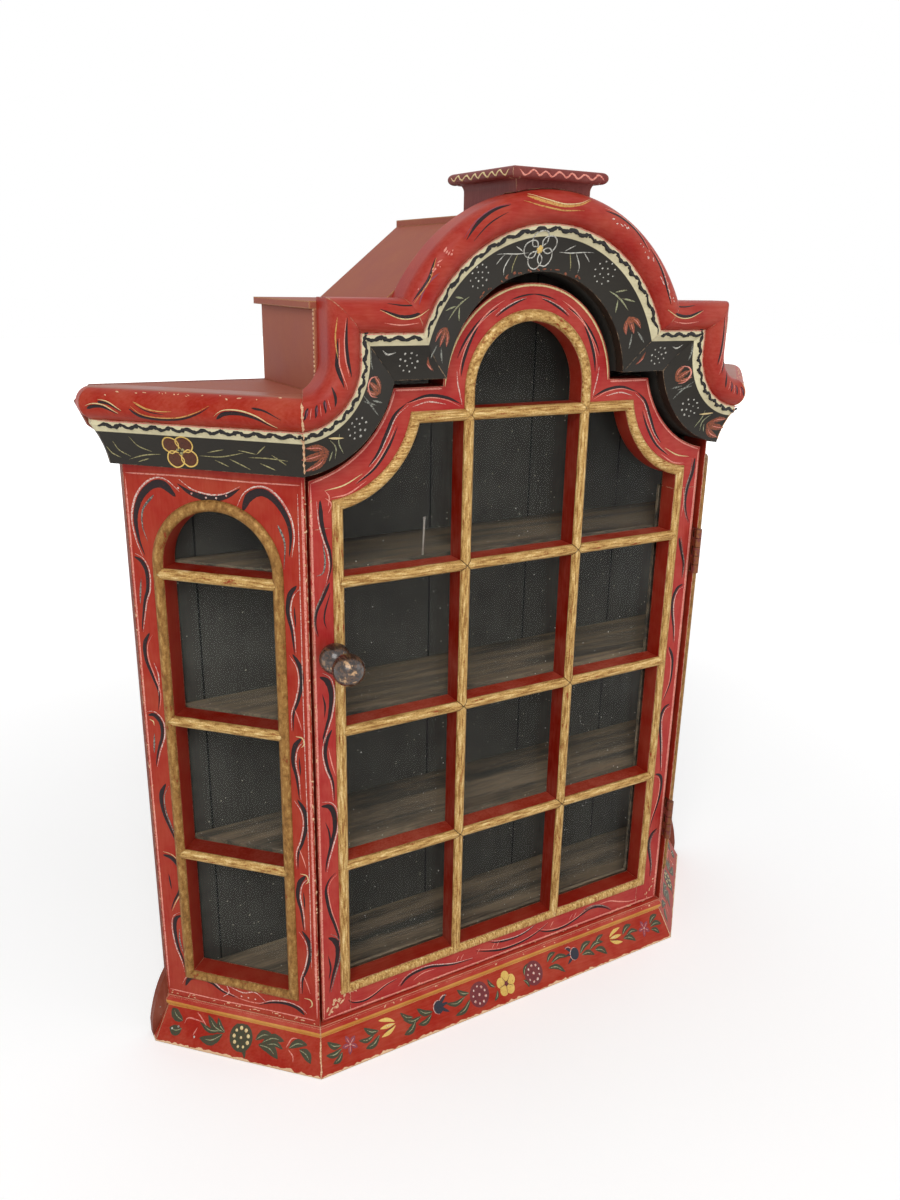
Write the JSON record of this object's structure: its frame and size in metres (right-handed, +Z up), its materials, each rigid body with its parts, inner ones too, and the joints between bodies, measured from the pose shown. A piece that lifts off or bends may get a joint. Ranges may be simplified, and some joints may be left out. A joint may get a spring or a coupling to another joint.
{
  "type": "thimble display case",
  "caption": "Small canted display cabinet with a glazed arched door, side windows, shelves, a moulded cornice and a bonnet top, painted red, black and gold.",
  "frame": {"origin": "on the surface that the case stands on, below the middle of its overall width and depth, knob included", "axes": "+X to the right seen from the front, +Y to the back, +Z up"},
  "size_m": [0.3908, 0.0956, 0.4415],
  "materials": {
    "glass": "clear, dusty",
    "gold_bead": "worn gold paint",
    "glazing_bar": "gold paint on the nose, red on the flanks",
    "hinge_metal": "tarnished, partly painted",
    "pin_steel": "bright",
    "dark_wood": "dark stain, dusty",
    "back_wood": "dark stain",
    "roof_red": "dull red-brown paint",
    "cornice_paint": "red torus, cream band, black cove",
    "plinth_paint": "red paint with a painted garland",
    "knob_paint": "black-brown gloss, worn gold",
    "door_red": "red paint with painted strokes",
    "case_red": "red paint with painted strokes"
  },
  "bodies": {
    "case": {"back_board": "back_wood", "floor_board": "dark_wood", "side_panel_left": "case_red", "side_panel_right": "case_red", "side_beads_left": "gold_bead", "side_beads_right": "gold_bead", "side_bars_left": "glazing_bar", "side_bars_right": "glazing_bar", "side_glass_left": "glass", "side_glass_right": "glass", "plinth_front": "plinth_paint", "plinth_side_left": "plinth_paint", "plinth_side_right": "plinth_paint", "plinth_return_left": "plinth_paint", "plinth_return_right": "plinth_paint", "shelf_lower": "dark_wood", "shelf_middle": "dark_wood", "shelf_upper": "dark_wood", "shelf_pin": "pin_steel", "head_board": "case_red", "deck_left": "case_red", "deck_right": "case_red", "cornice_side_left": "cornice_paint", "cornice_side_right": "cornice_paint", "cornice_return_left": "cornice_paint", "cornice_return_right": "cornice_paint", "cornice_quarter_left": "cornice_paint", "cornice_quarter_right": "cornice_paint", "cornice_step_left": "cornice_paint", "cornice_step_right": "cornice_paint", "cornice_arch": "cornice_paint", "bonnet_wall_left": "roof_red", "bonnet_wall_right": "roof_red", "bonnet_shoulder_left": "roof_red", "bonnet_shoulder_right": "roof_red", "bonnet_slope_left": "roof_red", "bonnet_slope_right": "roof_red", "bonnet_crown": "roof_red", "pedestal": "roof_red", "hinge_leaves_case": "hinge_metal", "hinge_pins": "hinge_metal", "hinge_screws_case": "hinge_metal"},
    "door": {"door_stile_left": "door_red", "door_stile_right": "door_red", "door_rail": "door_red", "door_head": "door_red", "door_beads": "gold_bead", "door_shoulder_beads": "gold_bead", "door_arch_bead": "gold_bead", "door_bar_left": "glazing_bar", "door_bar_right": "glazing_bar", "door_cross_bars": "glazing_bar", "door_spring_bar": "glazing_bar", "door_glass": "glass", "door_glass_strips": "dark_wood", "door_knob": "knob_paint", "hinge_leaves_door": "hinge_metal", "hinge_screws_door": "hinge_metal"}
  },
  "joints": [
    {"name": "door_hinge", "type": "hinge", "parent": "case", "child": "door", "pos_m": [0.1147, -0.02191, 0.1685], "axis": [0, 0, 1], "range_deg": [0, 160]}
  ]
}
